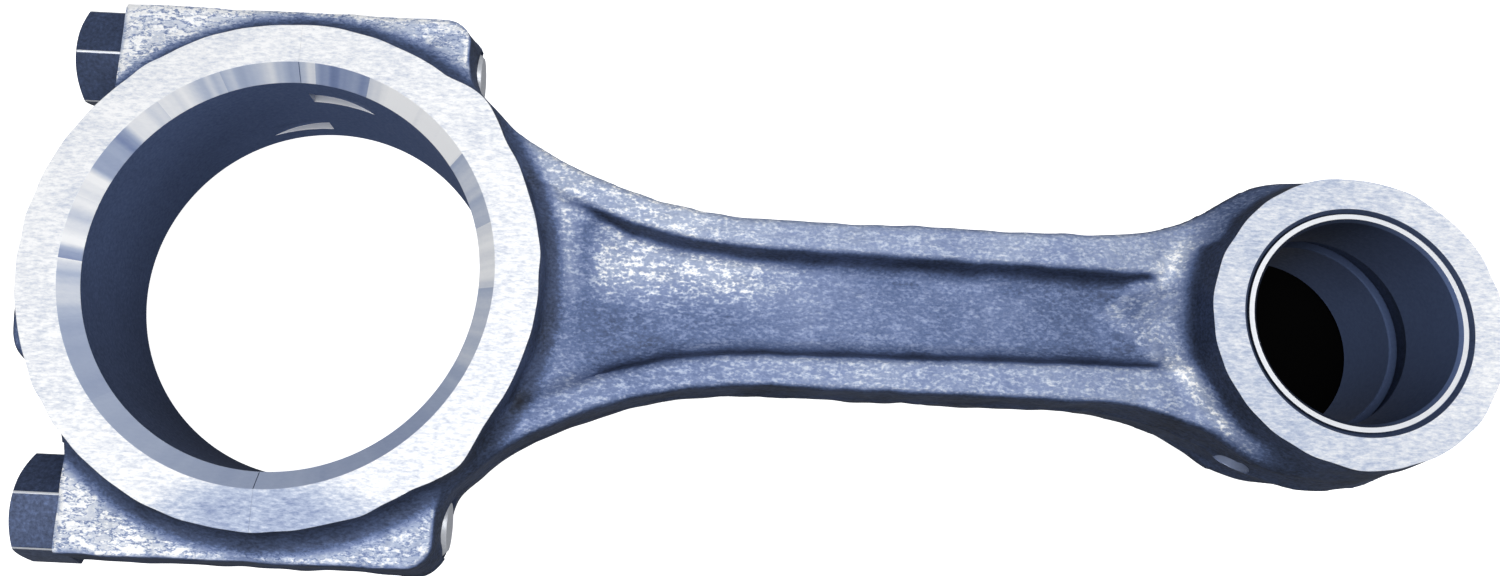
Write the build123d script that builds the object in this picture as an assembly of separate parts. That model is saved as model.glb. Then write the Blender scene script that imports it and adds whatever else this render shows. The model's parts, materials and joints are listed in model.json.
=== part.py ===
from build123d import *
import math
import os

# Connecting rod of a small engine, lying on its side.
# Origin: centre of the big-end bore at mid width. +X points along the shank to the small end,
# +Z along both bores. All lengths are in millimetres, all angles in degrees.

# ---- driving dimensions ----
CENTRES = 185.0  # big-end bore axis to small-end bore axis
WIDTH = 37.0  # across the machined faces, the same at both ends
BORE_R = 34.0  # big-end housing bore, for a 65 mm journal and its shells
BORE_CHAMFER = 2.9
RING_FACE_R = 44.0  # outer edge of the machined thrust face
PIN_R = 17.5  # small-end bush bore
BUSH_WALL = 1.6
BUSH_GAP = 5.0  # oil space left between the two bushes
EYE_FACE_R = 25.2
EYE_CHAMFER = 0.7
DRAFT = 5.0  # forging draft each side of the mid plane
OVERLAP = 1.0  # how far a cut runs past the metal that it cuts

# ---- big end ----
HALF = WIDTH / 2
RING_MID_R = 45.0
LUG_HALF_Y = 50.0
LUG_HALF_Z = 12.0
LUG_INNER_Y = 24.0
LUG_END_X = 29.3
SEAT_X = -34.1  # machined seat of the bolt heads
LUG_CORNER_R = 5.0
RING_FILLET_R = 3.6
RIB_BACK_X = -48.6
RIB_HALF_Y = 12.0
RIB_ROOT_HALF_Y = 23.0
RIB_ROOT_DEPTH = 6.0  # into the ring, past the bore wall
RIB_HALF_Z = 8.0

# ---- shank ----
SHANK_HALF_Z = 10.0
SHANK_HALF_Y = 15.6
SHANK_START_X = 26.3  # inside the big end
FLARE_X = 85.0  # the flare to the big end starts here
FLARE_R = 86.0
NECK_X = 141.0  # the flare to the small end starts here
WEB_HALF_Z = 4.5
POCKET_HALF_Y = 9.6
POCKET_FLARE_R = 90.0
POCKET_START_X = 38.0
POCKET_END_X = 157.0
POCKET_RAMP_X = 62.0  # from here to the big end, the pocket gets shallower
POCKET_RAMP_RISE = 4.2  # by the edge of the ring
POCKET_DRAFT = 10.0
POCKET_FLOOR_R = 3.0
FORGED_EDGE_R = 1.8

# ---- small end ----
EYE_MID_R = 28.2
EYE_BORE_R = PIN_R + BUSH_WALL
BUSH_RECESS = 0.3  # the bushes end this far below the faces
BUSH_CHAMFER = 0.4
OIL_HOLE_R = 2.0
OIL_SINK_R = 3.2
OIL_SINK_DEPTH = 0.9
OIL_HOLE_ANGLE = 238.5  # round the small end, from +X

# ---- bolts and dowels ----
BOLT_Y = 41.65
BOLT_R = 5.45
BOLT_HOLE_R = 5.75  # clearance hole in the cap
BOLT_TAP_R = 5.55  # threaded hole in the rod, drawn as a plain wall
BOLT_TIP_X = 30.0
BOLT_TIP_CHAMFER = 1.3
BOLT_NECK_R = 4.9
BOLT_NECK_FROM_X = -24.0
BOLT_NECK_TO_X = -5.0
BOLT_NECK_TAPER = 1.0
HEAD_FLATS = 17.0
HEAD_HEIGHT = 9.7
HEAD_CROWN = 0.9
HEAD_END_INSET = 0.3  # the flat end is this much smaller than the flats
WASHER_FACE_R = 8.0
WASHER_FACE_HEIGHT = 0.5
UPPER_HEAD_TURN = -9.5  # of the nearest corner, from +Z towards +Y
LOWER_HEAD_TURN = 15.0
DOWEL_R = 2.0
DOWEL_HALF_LENGTH = 5.0
DOWEL_HOLE_DEPTH = 5.5
DOWEL_Y = 40.0
DOWEL_Z = 13.2
DOWEL_FIT = 0.03  # radial clearance in the cap
DOWEL_CHAMFER = 0.4

# ---- notches for the tangs of the bearing shells ----
NOTCH_CUTTER_R = 21.5
NOTCH_DEPTH = 1.3
NOTCH_WIDTH = 4.6
ROD_NOTCH_Z = 7.6
CAP_NOTCH_Z = -9.0


def along_x(radius, x_from, x_to, y, z=0.0):
    """A cylinder on a line parallel to X."""
    middle = (x_from + x_to) / 2
    return Pos(middle, y, z) * Rot(0, 90, 0) * Cylinder(radius, x_to - x_from)


def turned(points):
    """A solid of revolution about Z from a closed outline of (radius, z) points."""
    outline = Polyline([(r, 0, z) for r, z in points], close=True)
    return revolve(make_face(outline), Axis.Z, 360)


def forged(outline, half_height, draft=DRAFT, edge_r=FORGED_EDGE_R):
    """A forging about the mid plane: drafted up and down, with rounded rims."""
    upper = extrude(outline, half_height, taper=draft)
    rim = upper.faces().sort_by(Axis.Z)[-1].edges()
    upper = fillet(rim, edge_r)
    return upper + mirror(upper, Plane.XY)


def mirrored_outline(edges):
    """A closed face from a run of edges on the +Y side that starts and ends on the X axis."""
    run = Wire(edges)
    return make_face(run.edges() + mirror(run, Plane.XZ).edges())


def flare(half_width, radius, x_end):
    """The arc that widens a straight side from FLARE_X towards the big end, as far as x_end."""
    centre = Vector(FLARE_X, half_width + radius)
    sweep = math.asin((FLARE_X - x_end) / radius)
    points = [centre - Vector(math.sin(turn), math.cos(turn)) * radius for turn in (sweep, sweep / 2, 0)]
    return ThreePointArc(*points)


def shank_outline():
    """The plan of the shank at mid width, from inside the big end to inside the small end."""
    wide = flare(SHANK_HALF_Y, FLARE_R, SHANK_START_X)
    neck = Vector(NECK_X, SHANK_HALF_Y)
    # The neck arc leaves the straight side and ends tangent to the circle of the small end.
    run = CENTRES - NECK_X
    neck_r = (run**2 + SHANK_HALF_Y**2 - EYE_MID_R**2) / (2 * (EYE_MID_R - SHANK_HALF_Y))
    neck_centre = neck + Vector(0, neck_r)
    eye = Vector(CENTRES, 0)
    to_eye = (eye - neck_centre).normalized()
    join = neck_centre + to_eye * neck_r
    between = (to_eye + Vector(0, -1)).normalized()
    edges = [
        Line((SHANK_START_X, 0), wide @ 0),
        wide,
        Line(wide @ 1, neck),
        ThreePointArc(neck, neck_centre + between * neck_r, join),
        Line(join, eye),
    ]
    return mirrored_outline(edges)


def pocket_cutter():
    """The recess in one side of the shank, down to the web, above the mid plane."""
    wide = flare(POCKET_HALF_Y, POCKET_FLARE_R, POCKET_START_X)
    end = Vector(POCKET_END_X - POCKET_HALF_Y, POCKET_HALF_Y)
    bow = POCKET_HALF_Y / math.sqrt(2)
    outline = mirrored_outline(
        [
            Line((POCKET_START_X, 0), wide @ 0),
            wide,
            Line(wide @ 1, end),
            ThreePointArc(end, (end.X + bow, bow), (POCKET_END_X, 0)),
        ]
    )
    depth = SHANK_HALF_Z - WEB_HALF_Z
    cutter = extrude(Pos(0, 0, SHANK_HALF_Z) * outline, -depth, taper=POCKET_DRAFT)
    floor = cutter.faces().sort_by(Axis.Z)[0].edges()
    return fillet(floor, POCKET_FLOOR_R) - pocket_ramp()


def pocket_ramp():
    """The metal that makes a pocket shallower towards the big end."""
    low_z = WEB_HALF_Z - OVERLAP
    slope = POCKET_RAMP_RISE / (POCKET_RAMP_X - RING_FACE_R)
    high_z = WEB_HALF_Z + slope * (POCKET_RAMP_X - POCKET_START_X + OVERLAP)
    start_x = POCKET_START_X - OVERLAP
    side = Polyline(
        [(start_x, 0, low_z), (POCKET_RAMP_X, 0, low_z), (POCKET_RAMP_X, 0, WEB_HALF_Z), (start_x, 0, high_z)],
        close=True,
    )
    return extrude(make_face(side), LUG_HALF_Y, both=True)


def shank():
    """The I-section shank: a forged blade with a pocket in each side."""
    blade = forged(shank_outline(), SHANK_HALF_Z)
    pocket = pocket_cutter()
    return blade - pocket - mirror(pocket, Plane.XY)


def lug(side):
    """One bolt lug, running from the bolt seat past the joint to its end on the rod."""
    length = LUG_END_X - SEAT_X + 2 * LUG_CORNER_R
    height = LUG_HALF_Y - LUG_INNER_Y
    middle_x = LUG_END_X - length / 2
    middle_y = side * (LUG_HALF_Y + LUG_INNER_Y) / 2
    plan = Pos(middle_x, middle_y) * RectangleRounded(length, height, LUG_CORNER_R)
    keep = Pos(SEAT_X + length / 2, side * LUG_HALF_Y) * Box(length, 4 * LUG_HALF_Y, WIDTH)
    return forged(plan, LUG_HALF_Z) & keep


def collar(level):
    """The concave forged fillet between the ring wall and a surface at z = level."""
    foot = RING_FACE_R + RING_FILLET_R
    top = level + RING_FILLET_R
    root = level - OVERLAP
    section = Polyline(
        [
            (BORE_R, 0, root),
            (foot, 0, root),
            (foot, 0, level),
            (RING_FACE_R, 0, top),
            (BORE_R, 0, top),
        ],
        close=True,
    )
    hollow = Pos(foot, 0, top) * Rot(90, 0, 0) * Circle(RING_FILLET_R)
    upper = revolve(make_face(section) - hollow, Axis.Z, 360)
    return upper + mirror(upper, Plane.XY)


def rib():
    """The forged pad at the back of the cap."""
    root_x = -BORE_R - RIB_ROOT_DEPTH
    plan = make_face(
        Polyline(
            [
                (root_x, -RIB_ROOT_HALF_Y),
                (root_x, RIB_ROOT_HALF_Y),
                (RIB_BACK_X, RIB_HALF_Y),
                (RIB_BACK_X, -RIB_HALF_Y),
            ],
            close=True,
        )
    )
    return forged(plan, RIB_HALF_Z)


def forging():
    """Rod and cap in one piece, before the bores and the joint are cut."""
    ring = turned([(0, -HALF), (RING_FACE_R, -HALF), (RING_MID_R, 0), (RING_FACE_R, HALF), (0, HALF)])
    eye = Pos(CENTRES, 0, 0) * turned(
        [(0, -HALF), (EYE_FACE_R, -HALF), (EYE_MID_R, 0), (EYE_FACE_R, HALF), (0, HALF)]
    )
    blade = shank()
    blade_side = Pos(LUG_END_X + RING_MID_R, 0, 0) * Box(2 * RING_MID_R, 2 * LUG_HALF_Y, WIDTH)
    blade_collar = collar(SHANK_HALF_Z) & extrude(shank_outline(), HALF, both=True) & blade_side
    body = ring + eye + blade + blade_collar + rib()
    for side in (1, -1):
        block = lug(side)
        lug_box = block.bounding_box()
        size = lug_box.size
        above = Pos(lug_box.center()) * Box(size.X, size.Y, WIDTH)
        body += block
        body += collar(LUG_HALF_Z) & above & extrude(lug_plan(side), HALF, both=True)
    return body


def lug_plan(side):
    """The flat top of a lug, as a face on the mid plane."""
    inset = LUG_HALF_Z * math.tan(math.radians(DRAFT)) + FORGED_EDGE_R
    length = LUG_END_X - inset - SEAT_X
    height = LUG_HALF_Y - inset
    return Pos(SEAT_X + length / 2, side * height / 2) * Rectangle(length, height)


def notch(z):
    """The milled recess for a shell tang, on the +Y side of the bore."""
    centre_y = BORE_R + NOTCH_DEPTH - NOTCH_CUTTER_R
    return Pos(0, centre_y, z) * Cylinder(NOTCH_CUTTER_R, NOTCH_WIDTH)


def machine_ends(body):
    """Bores the two ends and chamfers their mouths."""
    mouth = BORE_R + BORE_CHAMFER
    big = turned(
        [
            (0, -HALF),
            (mouth, -HALF),
            (BORE_R, -HALF + BORE_CHAMFER),
            (BORE_R, HALF - BORE_CHAMFER),
            (mouth, HALF),
            (0, HALF),
        ]
    )
    eye_mouth = EYE_BORE_R + EYE_CHAMFER
    small = turned(
        [
            (0, -HALF),
            (eye_mouth, -HALF),
            (EYE_BORE_R, -HALF + EYE_CHAMFER),
            (EYE_BORE_R, HALF - EYE_CHAMFER),
            (eye_mouth, HALF),
            (0, HALF),
        ]
    )
    return body - big - Pos(CENTRES, 0, 0) * small


def oil_hole():
    """A radial drilling into the small end that meets the space between the bushes."""
    turn = math.radians(OIL_HOLE_ANGLE)
    out = Vector(math.cos(turn), math.sin(turn))
    start = Vector(CENTRES, 0) + out * (EYE_BORE_R - OVERLAP)
    sink = Vector(CENTRES, 0) + out * (EYE_MID_R - OIL_SINK_DEPTH)
    drill = extrude(Plane(start, z_dir=out) * Circle(OIL_HOLE_R), EYE_MID_R)
    return drill + extrude(Plane(sink, z_dir=out) * Circle(OIL_SINK_R), EYE_MID_R)


def dowel_place(side):
    """The two dowels sit on opposite sides of the mid plane."""
    return side * DOWEL_Y, -side * DOWEL_Z


def rod_body(body):
    """The rod half: everything on the +X side of the joint."""
    reach = 2 * CENTRES
    rod = body & (Pos(reach / 2, 0, 0) * Box(reach, reach, reach))
    rod -= notch(ROD_NOTCH_Z)
    rod -= oil_hole()
    for side in (1, -1):
        rod -= along_x(BOLT_TAP_R, -OVERLAP, LUG_END_X + OVERLAP, side * BOLT_Y)
        rod -= along_x(DOWEL_R, -OVERLAP, DOWEL_HOLE_DEPTH, *dowel_place(side))
    return rod


def bearing_cap(body):
    """The cap half: everything on the -X side of the joint."""
    reach = 2 * CENTRES
    cap = body & (Pos(-reach / 2, 0, 0) * Box(reach, reach, reach))
    cap -= notch(CAP_NOTCH_Z)
    for side in (1, -1):
        cap -= along_x(BOLT_HOLE_R, SEAT_X - OVERLAP, OVERLAP, side * BOLT_Y)
        cap -= along_x(DOWEL_R + DOWEL_FIT, -DOWEL_HOLE_DEPTH, OVERLAP, *dowel_place(side))
    return cap


def cap_bolt(side, turn):
    """A hexagon-head bolt with a waisted shank, its head against the seat of the cap."""
    head_x = SEAT_X - WASHER_FACE_HEIGHT
    tip_r = BOLT_R - BOLT_TIP_CHAMFER
    profile = [
        (SEAT_X, 0),
        (SEAT_X, BOLT_R),
        (BOLT_NECK_FROM_X - BOLT_NECK_TAPER, BOLT_R),
        (BOLT_NECK_FROM_X, BOLT_NECK_R),
        (BOLT_NECK_TO_X - BOLT_NECK_TAPER, BOLT_NECK_R),
        (BOLT_NECK_TO_X, BOLT_R),
        (BOLT_TIP_X - BOLT_TIP_CHAMFER, BOLT_R),
        (BOLT_TIP_X, tip_r),
        (BOLT_TIP_X, 0),
    ]
    stem = revolve(make_face(Polyline(profile, close=True)), Axis.X, 360)
    end_x = SEAT_X - HEAD_HEIGHT
    hexagon = RegularPolygon(HEAD_FLATS / 2, 6, major_radius=False, rotation=turn)
    head = extrude(Plane((end_x, 0, 0), x_dir=(0, 0, 1), z_dir=(1, 0, 0)) * hexagon, head_x - end_x)
    corner_r = HEAD_FLATS / math.sqrt(3)
    crown = [
        (head_x, 0),
        (head_x, corner_r + OVERLAP),
        (end_x + HEAD_CROWN, corner_r + OVERLAP),
        (end_x + HEAD_CROWN, corner_r),
        (end_x, HEAD_FLATS / 2 - HEAD_END_INSET),
        (end_x, 0),
    ]
    head &= revolve(make_face(Polyline(crown, close=True)), Axis.X, 360)
    washer_face = along_x(WASHER_FACE_R, head_x, SEAT_X, 0)
    return Pos(0, side * BOLT_Y, 0) * (stem + head + washer_face)


def dowel(side):
    """A plain dowel pin across the joint, pressed into the rod."""
    pin = along_x(DOWEL_R, -DOWEL_HALF_LENGTH, DOWEL_HALF_LENGTH, *dowel_place(side))
    return chamfer(pin.edges().filter_by(GeomType.CIRCLE), DOWEL_CHAMFER)


def bush(side):
    """One small-end bush, from just below a face to the oil space at mid width."""
    inner_z = BUSH_GAP / 2
    outer_z = HALF - BUSH_RECESS
    shell = turned(
        [
            (PIN_R, inner_z),
            (EYE_BORE_R, inner_z),
            (EYE_BORE_R, outer_z),
            (PIN_R + BUSH_CHAMFER, outer_z),
            (PIN_R, outer_z - BUSH_CHAMFER),
        ]
    )
    if side < 0:
        shell = mirror(shell, Plane.XY)
    return Pos(CENTRES, 0, 0) * shell


def build_parts():
    body = machine_ends(forging())
    return {
        "rod_body": rod_body(body),
        "bearing_cap": bearing_cap(body),
        "upper_cap_bolt": cap_bolt(1, UPPER_HEAD_TURN),
        "lower_cap_bolt": cap_bolt(-1, LOWER_HEAD_TURN),
        "upper_dowel": dowel(1),
        "lower_dowel": dowel(-1),
        "front_bush": bush(1),
        "rear_bush": bush(-1),
    }


os.makedirs("parts", exist_ok=True)
for node, shape in build_parts().items():
    export_step(shape, f"parts/{node}.step")
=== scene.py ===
import json
import math
from types import SimpleNamespace

import bpy
import numpy as np
from mathutils import Euler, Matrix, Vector


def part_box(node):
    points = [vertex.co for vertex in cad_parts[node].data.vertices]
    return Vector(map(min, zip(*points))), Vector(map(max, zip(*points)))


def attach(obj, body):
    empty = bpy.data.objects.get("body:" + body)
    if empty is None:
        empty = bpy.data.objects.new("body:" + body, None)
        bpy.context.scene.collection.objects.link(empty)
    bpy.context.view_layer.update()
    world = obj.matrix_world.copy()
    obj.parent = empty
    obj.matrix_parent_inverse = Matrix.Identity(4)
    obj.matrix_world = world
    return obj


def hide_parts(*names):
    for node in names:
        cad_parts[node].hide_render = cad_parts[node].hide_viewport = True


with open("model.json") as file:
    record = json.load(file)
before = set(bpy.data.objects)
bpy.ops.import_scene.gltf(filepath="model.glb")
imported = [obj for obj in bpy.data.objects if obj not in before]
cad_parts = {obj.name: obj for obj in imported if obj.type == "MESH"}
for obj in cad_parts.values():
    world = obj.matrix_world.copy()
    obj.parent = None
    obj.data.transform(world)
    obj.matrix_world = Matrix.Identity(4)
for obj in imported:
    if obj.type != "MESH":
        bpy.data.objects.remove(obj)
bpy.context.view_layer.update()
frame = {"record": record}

# Shapes are worked out in millimetres and scaled to metres when a mesh is made.
MM = 0.001
MOUNTS = {m["name"]: m for m in frame["record"]["mounts"]}


def box_mm(node):
    """Lowest and highest corner of a CAD node, in millimetres."""
    low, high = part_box(node)
    return low / MM, high / MM


# ---- sizes read from the frame ----
BORE_R = MOUNTS["big_end_bore"]["dims"]["r_mm"]
BORE_WALL = MOUNTS["big_end_bore"]["dims"]["length_mm"]
PIN_R = MOUNTS["piston_pin_bore"]["dims"]["r_mm"]
CENTRES = MOUNTS["piston_pin_bore"]["pos_m"][0] / MM
ROD_HIGH = box_mm("rod_body")[1]
CAP_LOW = box_mm("bearing_cap")[0]
BUSH_LOW, BUSH_HIGH = box_mm("front_bush")
BOLT_LOW, BOLT_HIGH = box_mm("upper_cap_bolt")
DOWEL_LOW, DOWEL_HIGH = box_mm("upper_dowel")
HALF = ROD_HIGH.z
BORE_CHAMFER = HALF - BORE_WALL / 2
EYE_MID_R = ROD_HIGH.x - CENTRES
EYE_BORE_R = BUSH_HIGH.y
LUG_HALF_Y = ROD_HIGH.y
RIB_BACK_X = CAP_LOW.x - 0.3  # the back of the cap's pad, without parting line and waves
HEAD_END_X = BOLT_LOW.x
BOLT_TIP_X = BOLT_HIGH.x + 0.2

# ---- forged shape ----
STOCK = 1.2  # forged metal above the faces, taken off when they are machined
DRAFT = math.tan(math.radians(5))
ARC_SHARE = 0.93  # of its radius: how far along its tangent an arc is followed
RING_FACE_R = 43.8
RING_SHIFT_X = 0.4  # the forged ring is slightly off the bored hole
RING_LONGER = 1.008  # and slightly longer than it is wide
RING_TAPER = 1.0
RING_BLEND = 4.2
SHOULDER_R = 7.9
SHOULDER_OUT = 38.0
SHOULDER_ANGLE = math.radians(44)
SHOULDER_BLEND = 2.0
LUG_INNER_Y = 24.0
LUG_HALF_Z = 12.0
LUG_END_X = 30.0
LUG_CORNER_R = 4.8
LUG_EDGE_R = 0.8
SEAT_X = -34.1
SEAT_INNER_Y = 30.6
SEAT_STOCK = 0.3
SHANK_HALF_Y = 15.6
SHANK_HALF_Z = 10.0
SHANK_EDGE_R = 1.2
SHANK_DRAFT = math.tan(math.radians(3))
SHANK_START_X = 25.0
FLARE_X = 85.0
FLARE_R = 86.0
NECK_X = 141.0
NECK_RUN = CENTRES - NECK_X
NECK_R = (NECK_RUN**2 + SHANK_HALF_Y**2 - EYE_MID_R**2) / (2 * (EYE_MID_R - SHANK_HALF_Y))
NECK_END_X = CENTRES - EYE_MID_R * NECK_RUN / (NECK_R + EYE_MID_R)
COLLAR_SINK = 4.0  # how far the blade sinks into the small end
SHANK_BLEND = 4.5
WEB_HALF_Z = 4.5
POCKET_HALF_Y = 9.5
POCKET_FLARE_R = 90.0
POCKET_NARROWING = 0.018
POCKET_DRAFT = math.tan(math.radians(13))
POCKET_FLOOR_R = 2.6
POCKET_RIM_R = 1.3
POCKET_RAMP_X = 62.0  # the floor ramps up from here to the ring
POCKET_RAMP_RISE = 4.2
WEB_RISE_X = 143.0  # the web starts to rise here, in a V that points to the big end
WEB_RISE_SPREAD = 0.35
WEB_RISE_RUN = 17.0
EYE_FACE_R = 25.2
EYE_BLEND = 5.0  # above the shank; beside it the two walls nearly meet in line
EYE_SIDE_BLEND = 1.0
EYE_BLEND_Z = 5.5  # the blend grows from this height
EYE_BLEND_RUN = 3.5
RIB_SHIFT_Y = 2.0
RIB_HALF_Y = 12.0
RIB_HALF_Z = 8.5
RIB_SPLAY = 0.9  # how much its flanks spread for each millimetre towards the ring
RIB_SPLAY_COS = 0.74
RIB_CORNER_R = 2.5
RIB_EDGE_R = 2.0
RIB_BLEND = 1.0
FLASH_HEIGHT = 0.3
FLASH_HALF = 0.8
UNEVEN = 0.13
UNEVEN_WAVES = 16
UNEVEN_LENGTHS = (5, 16)
UNEVEN_SEED = 11

# ---- machined details ----
FAR = 400  # beyond the part in every direction
EYE_CHAMFER = 0.7
BOLT_Y = 41.65
BOLT_HOLE_R = 5.75
BOLT_TAP_R = 5.55
BOLT_R = 5.45
WAIST_DEPTH = 0.55
WAIST_FROM_X = -24.0
WAIST_TO_X = -5.0
THREAD_X = -1.0  # the thread runs from here to the tip
THREAD_PITCH = 1.25
THREAD_DEPTH = 0.6
TIP_CHAMFER = 1.3
TIP_LOOK_LENGTH = 1.2
HEAD_FLATS = 17.0
HEAD_CORNER_R = 0.8
HEAD_CROWN = 0.9
HEAD_END_INSET = 0.3
HEAD_END_BEVEL = 0.4
UPPER_HEAD_TURN = math.radians(-9.5)
LOWER_HEAD_TURN = math.radians(15)
WASHER_R = 8.0
WASHER_HEIGHT = 0.5
WASHER_BREAK = 0.15
BUSH_MOUTH = 0.55  # the chamfer at the outer end of a bush bore
BUSH_BREAK = 0.2  # its other edges
DOWEL_R = 2.0
DOWEL_ROUND = 0.5
DOWEL_ROUND_STEP = 0.15
DOWEL_HOLE_DEPTH = 5.5
DOWEL_CLEARANCE = 0.03  # in the cap
NOTCH_CUTTER_R = 21.5
NOTCH_DEPTH = 1.3
NOTCH_WIDTH = 4.6
ROD_NOTCH_Z = 7.6
CAP_NOTCH_Z = -9.0
OIL_HOLE_R = 2.0
OIL_SINK_R = 3.2
OIL_SINK_DEPTH = 1.8
OIL_SINK_RIM = 0.4
OIL_HOLE_ANGLE = math.radians(238.5)
JOINT_BREAK = 0.06  # half the groove that shows the joint on the bore chamfer
JOINT_BREAK_LENGTH = 4.0

GRID_STEP = 0.75
ROUND_STEPS = 256


# ------------------------------------------------------------------ implicit forging


def round_max(a, b, radius):
    """Both solids at once, with their shared edge rounded."""
    outside = np.hypot(np.maximum(a + radius, 0), np.maximum(b + radius, 0))
    return np.minimum(np.maximum(a, b) + radius, 0) + outside - radius


def round_min(a, b, radius):
    """Either solid, with a fillet of that radius where they meet."""
    return -round_max(-a, -b, radius)


def arc_rise(distance, radius):
    """How far an arc has left its tangent, and the cosine of its slope, at a distance along the tangent."""
    run = np.clip(distance, 0, ARC_SHARE * radius)
    level = np.sqrt(radius**2 - run**2)
    return radius - level, level / radius


def smooth_step(value):
    """0 below 0, 1 above 1 and smooth between."""
    t = np.clip(value, 0, 1)
    return t * t * (3 - 2 * t)


def shank_field(x, side_y, up):
    """The I-section shank. side_y and up are the distances from the two symmetry planes."""
    flare, flare_cos = arc_rise(FLARE_X - x, FLARE_R)
    neck, neck_cos = arc_rise(x - NECK_X, NECK_R)
    side = (side_y - SHANK_HALF_Y - flare - neck + up * SHANK_DRAFT) * flare_cos * neck_cos
    sink = COLLAR_SINK * smooth_step((x - NECK_END_X) / (CENTRES - NECK_END_X))
    collar = np.hypot(x - CENTRES, side_y) - EYE_MID_R + FLASH_HEIGHT + up * SHANK_DRAFT + sink
    side = np.where(x < NECK_END_X, side, collar)
    blade = round_max(side, up - SHANK_HALF_Z, SHANK_EDGE_R)
    blade = np.maximum(blade, np.maximum(SHANK_START_X - x, x - CENTRES))

    pocket_rise, pocket_cos = arc_rise(FLARE_X - x, POCKET_FLARE_R)
    narrowing = POCKET_NARROWING * np.maximum(x - FLARE_X, 0)
    width = POCKET_HALF_Y + pocket_rise - narrowing
    wall = (side_y - width + (SHANK_HALF_Z - up) * POCKET_DRAFT) * pocket_cos
    far_rise = smooth_step((x - WEB_RISE_X - WEB_RISE_SPREAD * side_y) / WEB_RISE_RUN)
    near_rise = smooth_step((POCKET_RAMP_X - x) / (POCKET_RAMP_X - RING_FACE_R))
    floor = WEB_HALF_Z + (SHANK_HALF_Z + 1 - WEB_HALF_Z) * far_rise + POCKET_RAMP_RISE * near_rise - up
    pocket = round_max(wall, floor, POCKET_FLOOR_R)
    return round_max(blade, -pocket, POCKET_RIM_R)


def lug_field(x, side_y, up):
    """Both bolt lugs, from beyond the bolt seats to their ends on the rod."""
    draft = up * DRAFT
    end = x - LUG_END_X + draft
    top = side_y - LUG_HALF_Y + draft
    plan = round_max(end, top, LUG_CORNER_R)
    plan = np.maximum(plan, LUG_INNER_Y - side_y)
    plan = np.maximum(plan, SEAT_X - SEAT_STOCK - x)
    return round_max(plan, up - LUG_HALF_Z, LUG_EDGE_R)


def ring_field(x, side_y, up):
    """The big-end ring with a shoulder on each side where lug and shank meet."""
    radius = RING_FACE_R + RING_TAPER * (1 - up / HALF)
    ring = np.hypot((x - RING_SHIFT_X) / RING_LONGER, side_y) - radius
    shoulder_x = SHOULDER_OUT * math.cos(SHOULDER_ANGLE)
    shoulder_y = SHOULDER_OUT * math.sin(SHOULDER_ANGLE)
    shoulder = np.hypot(x - shoulder_x, side_y - shoulder_y) - SHOULDER_R
    ring = round_min(ring, shoulder, SHOULDER_BLEND)
    return np.maximum(ring, up - HALF - STOCK)


def rib_field(x, side_y, up):
    """The pad at the back of the cap."""
    back = RIB_BACK_X - x + up * DRAFT
    flank = (side_y - RIB_HALF_Y + up * DRAFT + (RIB_BACK_X - x) * RIB_SPLAY) * RIB_SPLAY_COS
    plan = round_max(back, flank, RIB_CORNER_R)
    plan = np.maximum(plan, x + BORE_R)
    return round_max(plan, up - RIB_HALF_Z, RIB_EDGE_R)


def eye_field(x, side_y, up):
    """The boss round the small-end bore."""
    radius = EYE_FACE_R + (EYE_MID_R - FLASH_HEIGHT - EYE_FACE_R) * (1 - up / HALF)
    eye = np.hypot(x - CENTRES, side_y) - radius
    return np.maximum(eye, up - HALF - STOCK)


def unevenness(x, y, z):
    """Slight waves left by the dies, the same on every run."""
    draws = np.random.default_rng(UNEVEN_SEED)
    total = np.zeros_like(x)
    for _ in range(UNEVEN_WAVES):
        direction = draws.normal(size=3)
        direction *= 2 * math.pi / (np.linalg.norm(direction) * draws.uniform(*UNEVEN_LENGTHS))
        phase = draws.uniform(0, 2 * math.pi)
        total += np.sin(direction[0] * x + direction[1] * y + direction[2] * z + phase)
    return total * (UNEVEN / math.sqrt(UNEVEN_WAVES))


def forging_field(x, y, z):
    """Signed distance to the forged surface: negative inside the metal."""
    side_y = np.abs(y)
    up = np.abs(z)
    body = round_min(lug_field(x, side_y, up), shank_field(x, side_y, up), SHANK_BLEND)
    body = round_min(body, rib_field(x, np.abs(y + RIB_SHIFT_Y), up), RIB_BLEND)
    body = round_min(body, ring_field(x, side_y, up), RING_BLEND)
    above = smooth_step((up - EYE_BLEND_Z) / EYE_BLEND_RUN)
    eye_blend = EYE_SIDE_BLEND + (EYE_BLEND - EYE_SIDE_BLEND) * above
    body = round_min(body, eye_field(x, side_y, up), eye_blend)
    flash = FLASH_HEIGHT * np.exp(-((z / FLASH_HALF) ** 2))
    return body - flash - unevenness(x, y, z)


def field_gradient(points):
    """Central differences of the field at an array of points."""
    step = 0.05
    slopes = []
    for axis in range(3):
        shift = np.zeros(3)
        shift[axis] = step
        ahead = forging_field(*(points + shift).T)
        behind = forging_field(*(points - shift).T)
        slopes.append((ahead - behind) / (2 * step))
    return np.stack(slopes, axis=1)


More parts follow.
